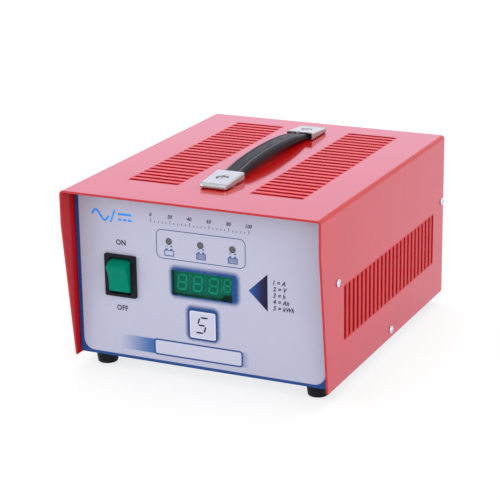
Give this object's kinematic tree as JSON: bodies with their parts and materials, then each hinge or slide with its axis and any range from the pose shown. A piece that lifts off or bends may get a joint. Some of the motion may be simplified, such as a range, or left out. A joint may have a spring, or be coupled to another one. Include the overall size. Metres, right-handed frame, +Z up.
{
  "type": "floor scrubber battery charger",
  "caption": "Bench battery charger in a folded steel case with a visor, slotted cover, carrying handle, rocker switch, display window, select key and rear fan.",
  "frame": {"origin": "on the floor, under the middle of the whole part's box", "axes": "+X to the right of the front panel, +Y from the front to the rear, +Z up"},
  "size_m": [0.2068, 0.2746, 0.1504],
  "materials": {
    "red_paint": "gloss paint on folded steel",
    "zinc_plate": "zinc-plated folded steel",
    "panel_film": "printed film with a fine silver grain",
    "green_filter": "tinted clear plastic",
    "black_plastic": "moulded plastic",
    "green_rocker": "glossy moulded plastic",
    "brass": "plated brass",
    "key_film": "printed film",
    "circuit_board": "solder mask",
    "digit_block": "cast display block",
    "grey_lamp": "unlit diffused lens",
    "strap_vinyl": "grained vinyl",
    "chrome": "bright plated steel",
    "zinc_screw": "zinc plate",
    "ferrite": "sintered ferrite",
    "bobbin_plastic": "moulded phenolic",
    "copper_wire": "enamelled copper",
    "ring_core": "painted iron powder",
    "capacitor_sleeve": "shrunk sleeve",
    "capacitor_box": "potted plastic case",
    "heatsink_alloy": "extruded aluminium",
    "relay_plastic": "moulded case",
    "fuse_glass": "clear glass with plated ends",
    "terminal_plastic": "moulded nylon",
    "ribbon_plastic": "flat cable",
    "foot_rubber": "black rubber"
  },
  "bodies": {
    "case": {"cover": "red_paint", "chassis": "zinc_plate", "front_overlay": "panel_film", "display_filter": "green_filter", "switch_housing": "black_plastic", "switch_terminals": "brass", "select_switch": "black_plastic", "display_board": "circuit_board", "display_spacers": "brass", "large_digits": "digit_block", "small_digit": "digit_block", "status_lamps": "grey_lamp", "handle_strap": "strap_vinyl", "handle_cap_front": "chrome", "handle_cap_rear": "chrome", "handle_screws": "chrome", "handle_nuts": "zinc_screw", "cover_screws": "zinc_screw", "foot_front_left": "foot_rubber", "foot_front_right": "foot_rubber", "foot_rear_left": "foot_rubber", "foot_rear_right": "foot_rubber", "foot_screws": "zinc_screw", "foot_nuts": "zinc_screw", "main_board": "circuit_board", "board_spacers": "brass", "board_screws": "zinc_screw", "transformer_core": "ferrite", "transformer_bobbin": "bobbin_plastic", "transformer_winding": "copper_wire", "choke_core": "ring_core", "choke_winding": "copper_wire", "filter_choke_core": "ferrite", "filter_choke_windings": "copper_wire", "main_capacitors": "capacitor_sleeve", "output_capacitors": "capacitor_sleeve", "filter_capacitors": "capacitor_box", "primary_heatsink": "heatsink_alloy", "secondary_heatsink": "heatsink_alloy", "power_transistors": "black_plastic", "rectifier_diodes": "black_plastic", "relay": "relay_plastic", "mains_fuse": "fuse_glass", "fuse_clips": "brass", "output_terminals": "terminal_plastic", "ribbon_cable": "ribbon_plastic", "inlet_body": "black_plastic", "inlet_pins": "brass", "inlet_screws": "zinc_screw", "gland_body": "black_plastic", "gland_dome": "black_plastic", "gland_seal": "foot_rubber", "gland_locknut": "black_plastic", "fan_frame": "black_plastic", "fan_screws": "zinc_screw"},
    "rocker": {"rocker": "green_rocker"},
    "key": {"select_key": "key_film"},
    "fan": {"fan_rotor": "black_plastic"}
  },
  "joints": [
    {"name": "rocker_tilt", "type": "hinge", "parent": "case", "child": "rocker", "pos_m": [-0.0629, -0.11875, 0.0749], "axis": [-1, 0, 0], "range_deg": [0, 25]},
    {"name": "key_press", "type": "slide", "parent": "case", "child": "key", "axis": [0, 1, 0], "range_m": [0, 0.0003], "stiffness_N_per_m": 3000},
    {"name": "fan_spin", "type": "hinge", "parent": "case", "child": "fan", "pos_m": [0.046, 0.10225, 0.0776], "axis": [0, 1, 0], "continuous": true}
  ]
}
